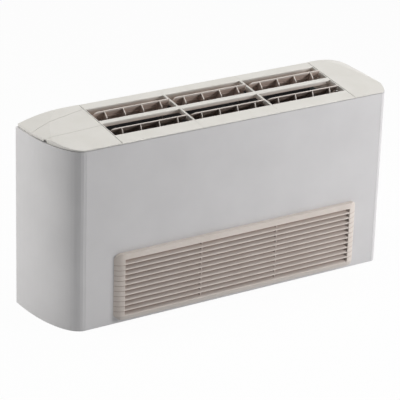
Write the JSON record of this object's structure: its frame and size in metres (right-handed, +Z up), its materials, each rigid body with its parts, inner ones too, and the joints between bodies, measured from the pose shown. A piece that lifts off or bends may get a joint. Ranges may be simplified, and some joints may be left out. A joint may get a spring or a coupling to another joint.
{
  "type": "fan coil unit",
  "caption": "Floor standing fan coil unit: bowed steel cabinet, sloping discharge grille with tilting deflectors, hinged intake grille, control flap, fan and coil inside.",
  "frame": {"origin": "middle of the footprint's box, on the floor", "axes": "+X along the unit to the right seen from the front, +Y to the wall, +Z up"},
  "size_m": [0.998, 0.239, 0.5115],
  "materials": {
    "panel_paint": "fine textured powder coat",
    "cap_plastic": "satin moulded, off-white",
    "intake_plastic": "satin moulded, warm beige",
    "zinc_sheet": "galvanised sheet",
    "steel": "bright ground steel",
    "fan_plastic": "moulded black",
    "motor_paint": "black enamel",
    "fin_aluminium": "thin mill-finish fins",
    "copper_tube": "drawn copper, slightly tarnished",
    "brass_fitting": "machined brass",
    "filter_frame_plastic": "moulded dark grey",
    "filter_cloth": "woven filter net",
    "pan_plastic": "moulded dark grey",
    "panel_plastic": "fine textured light grey",
    "switch_plastic": "gloss black",
    "terminal_plastic": "moulded ivory",
    "capacitor_can": "drawn can"
  },
  "bodies": {
    "cabinet": {"front_panel": "panel_paint", "side_panel_left": "panel_paint", "side_panel_right": "panel_paint", "end_cap_left": "cap_plastic", "end_cap_right": "cap_plastic", "discharge_grille_left": "cap_plastic", "discharge_grille_center": "cap_plastic", "discharge_grille_right": "cap_plastic", "deck_screws": "steel", "back_panel": "zinc_sheet", "shoulder_left": "zinc_sheet", "shoulder_right": "zinc_sheet", "fan_deck": "zinc_sheet", "front_crossbar": "zinc_sheet", "fan_volute_left": "zinc_sheet", "fan_volute_right": "zinc_sheet", "motor_bracket": "zinc_sheet", "coil_end_plates": "zinc_sheet", "control_box": "zinc_sheet", "control_box_cover": "zinc_sheet", "cable_gland": "fan_plastic", "motor_housing": "motor_paint", "motor_bearings": "brass_fitting", "water_unions": "brass_fitting", "air_vent": "brass_fitting", "coil_fins": "fin_aluminium", "coil_tubes": "copper_tube", "coil_headers": "copper_tube", "drain_pan": "pan_plastic", "control_panel": "panel_plastic", "terminal_block": "terminal_plastic", "run_capacitor": "capacitor_can"},
    "rotor": {"fan_shaft": "steel", "impeller_left": "fan_plastic", "impeller_right": "fan_plastic"},
    "control_flap": {"control_flap": "cap_plastic"},
    "intake": {"intake_grille": "intake_plastic", "grille_hinge_pins": "steel", "filter_frame": "filter_frame_plastic", "filter_mesh": "filter_cloth"},
    "thermostat_knob": {"thermostat_knob": "cap_plastic"},
    "speed_knob": {"speed_knob": "cap_plastic"},
    "season_switch": {"season_switch": "switch_plastic"},
    "deflector_front_left": {"deflector_front_left": "cap_plastic"},
    "deflector_front_center": {"deflector_front_center": "cap_plastic"},
    "deflector_front_right": {"deflector_front_right": "cap_plastic"},
    "deflector_rear_left": {"deflector_rear_left": "cap_plastic"},
    "deflector_rear_center": {"deflector_rear_center": "cap_plastic"},
    "deflector_rear_right": {"deflector_rear_right": "cap_plastic"}
  },
  "joints": [
    {"name": "fan_spin", "type": "hinge", "parent": "cabinet", "child": "rotor", "pos_m": [0.0235, 0.0065, 0.112], "axis": [1, 0, 0], "continuous": true},
    {"name": "flap_hinge", "type": "hinge", "parent": "cabinet", "child": "control_flap", "pos_m": [-0.326, 0.04403, 0.49927], "axis": [0, 0.9948, 0.1017], "range_deg": [0, 95]},
    {"name": "intake_hinge", "type": "hinge", "parent": "cabinet", "child": "intake", "pos_m": [0.0235, -0.10965, 0.013], "axis": [1, 0, 0], "range_deg": [0, 80]},
    {"name": "thermostat_turn", "type": "hinge", "parent": "cabinet", "child": "thermostat_knob", "pos_m": [-0.373, 0.04776, 0.47754], "axis": [0, -0.1017, 0.9948], "range_deg": [-135, 135]},
    {"name": "speed_turn", "type": "hinge", "parent": "cabinet", "child": "speed_knob", "pos_m": [-0.415, 0.04776, 0.47754], "axis": [0, -0.1017, 0.9948], "range_deg": [0, 120]},
    {"name": "season_rock", "type": "hinge", "parent": "cabinet", "child": "season_switch", "pos_m": [-0.448, 0.04791, 0.47604], "axis": [1, 0, 0], "range_deg": [-5, 5]},
    {"name": "deflector_front_left_tilt", "type": "hinge", "parent": "cabinet", "child": "deflector_front_left", "pos_m": [-0.2065, -0.02326, 0.48435], "axis": [1, 0, 0], "range_deg": [-30, 30]},
    {"name": "deflector_front_center_tilt", "type": "hinge", "parent": "cabinet", "child": "deflector_front_center", "pos_m": [0.0235, -0.02326, 0.48435], "axis": [1, 0, 0], "range_deg": [-30, 30]},
    {"name": "deflector_front_right_tilt", "type": "hinge", "parent": "cabinet", "child": "deflector_front_right", "pos_m": [0.2535, -0.02326, 0.48435], "axis": [1, 0, 0], "range_deg": [-30, 30]},
    {"name": "deflector_rear_left_tilt", "type": "hinge", "parent": "cabinet", "child": "deflector_rear_left", "pos_m": [-0.2065, 0.0594, 0.4928], "axis": [1, 0, 0], "range_deg": [-30, 30]},
    {"name": "deflector_rear_center_tilt", "type": "hinge", "parent": "cabinet", "child": "deflector_rear_center", "pos_m": [0.0235, 0.0594, 0.4928], "axis": [1, 0, 0], "range_deg": [-30, 30]},
    {"name": "deflector_rear_right_tilt", "type": "hinge", "parent": "cabinet", "child": "deflector_rear_right", "pos_m": [0.2535, 0.0594, 0.4928], "axis": [1, 0, 0], "range_deg": [-30, 30]}
  ]
}
